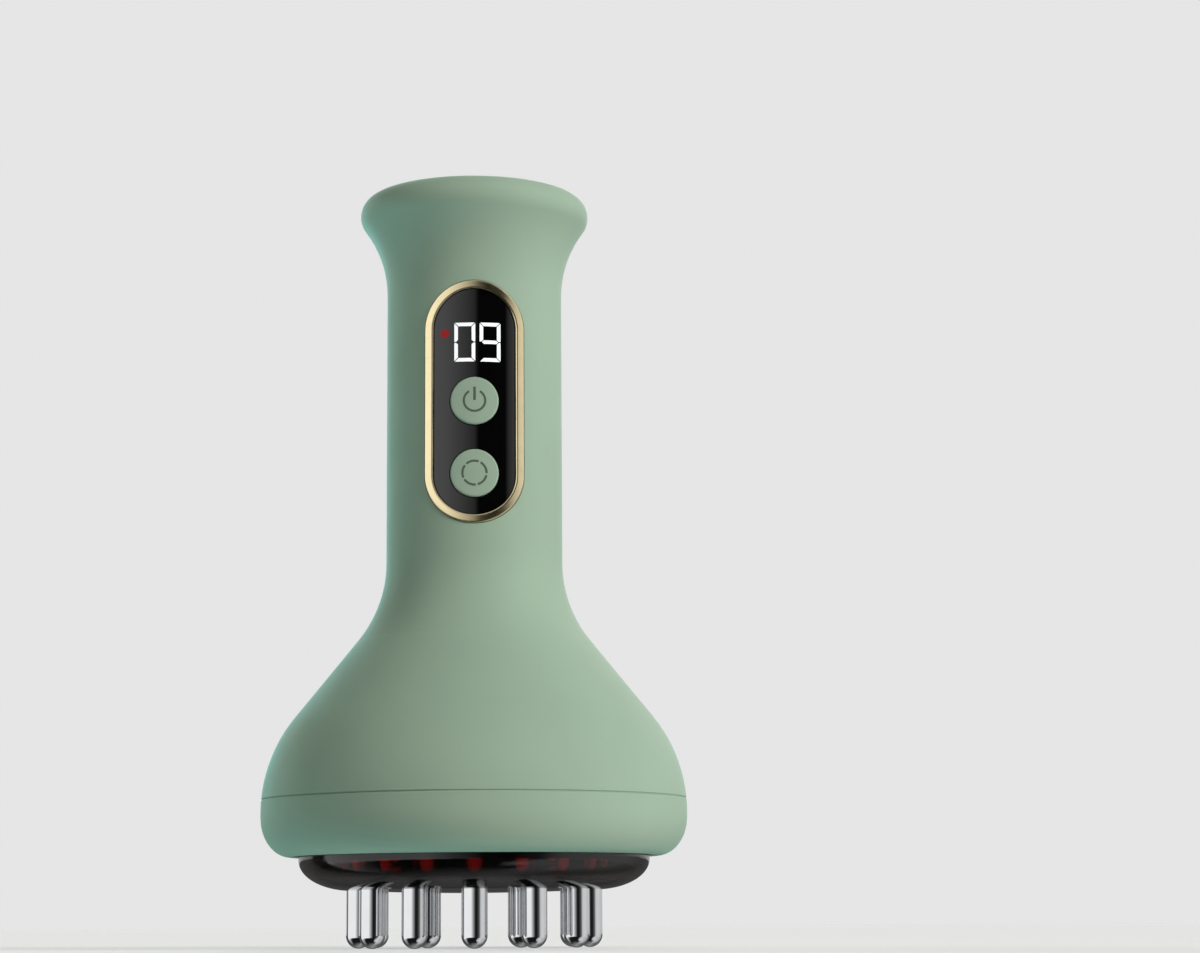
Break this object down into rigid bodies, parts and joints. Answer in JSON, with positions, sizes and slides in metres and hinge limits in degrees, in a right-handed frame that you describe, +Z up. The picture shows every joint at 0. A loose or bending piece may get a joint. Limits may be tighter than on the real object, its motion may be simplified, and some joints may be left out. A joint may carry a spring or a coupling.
{
  "type": "electric meridian brush",
  "caption": "Hand-held electric massage brush with a waisted body, a control panel with buttons on the handle and metal pins on a smoked bowl with red lights.",
  "frame": {"origin": "on the handle's axis, at the height of the pin tips, so the part stands on z = 0", "axes": "+Z up the handle to the flat top, -Y out of the control panel, +X to the right as the panel is read"},
  "size_m": [0.088, 0.088, 0.1578],
  "materials": {
    "green_body": "soft matt sage green",
    "green_button": "satin sage green",
    "smoked_bowl": "polished smoked black",
    "chrome_pin": "polished",
    "gold_rim": "satin pale gold",
    "black_window": "polished black",
    "black_plastic": "matt black",
    "red_light": "clear red",
    "circuit_board": "green solder mask",
    "brass_spacer": "turned",
    "steel": "plain",
    "grey_frame": "moulded",
    "cell_wrap": "blue shrink sleeve",
    "coil_core": "pressed ferrite",
    "white_plastic": "moulded",
    "lead_cover": "soft black"
  },
  "bodies": {
    "body": {"front_shell": "green_body", "rear_shell": "green_body", "base_ring": "green_body", "lens_bowl": "smoked_bowl", "massage_pin_1": "chrome_pin", "massage_pin_2": "chrome_pin", "massage_pin_3": "chrome_pin", "massage_pin_4": "chrome_pin", "massage_pin_5": "chrome_pin", "massage_pin_6": "chrome_pin", "massage_pin_7": "chrome_pin", "massage_pin_8": "chrome_pin", "massage_pin_9": "chrome_pin", "massage_pin_10": "chrome_pin", "massage_pin_11": "chrome_pin", "massage_pin_12": "chrome_pin", "massage_pin_13": "chrome_pin", "massage_pin_14": "chrome_pin", "massage_pin_15": "chrome_pin", "massage_pin_16": "chrome_pin", "massage_pin_17": "chrome_pin", "massage_pin_18": "chrome_pin", "massage_pin_19": "chrome_pin", "bezel_ring": "gold_rim", "panel_cover": "black_window", "display_module": "black_plastic", "control_chip": "black_plastic", "power_switch": "black_plastic", "mode_switch": "black_plastic", "charge_tongue": "black_plastic", "red_leds": "red_light", "status_led": "red_light", "led_board": "circuit_board", "control_board": "circuit_board", "charge_board": "circuit_board", "pin_nuts": "brass_spacer", "frame_screws": "steel", "clamp_screws": "steel", "board_screws": "steel", "charge_screws": "steel", "motor_can": "steel", "charge_socket": "steel", "motor_frame": "grey_frame", "motor_clamp": "grey_frame", "battery_cell": "cell_wrap", "boost_coil": "coil_core", "board_sockets": "white_plastic", "head_harness": "lead_cover", "motor_leads": "lead_cover", "battery_leads": "lead_cover", "charge_leads": "lead_cover"},
    "power_button": {"power_button": "green_button", "power_plunger": "white_plastic"},
    "mode_button": {"mode_button": "green_button", "mode_plunger": "white_plastic"},
    "rotor": {"motor_shaft": "steel", "eccentric_weight": "steel"}
  },
  "joints": [
    {"name": "power_button_press", "type": "slide", "parent": "body", "child": "power_button", "axis": [0, 1, 0], "range_m": [0, 0.0005], "stiffness_N_per_m": 1500},
    {"name": "mode_button_press", "type": "slide", "parent": "body", "child": "mode_button", "axis": [0, 1, 0], "range_m": [0, 0.0005], "stiffness_N_per_m": 1500},
    {"name": "rotor_spin", "type": "hinge", "parent": "body", "child": "rotor", "pos_m": [0, 0, 0.0338], "axis": [1, 0, 0], "continuous": true}
  ]
}
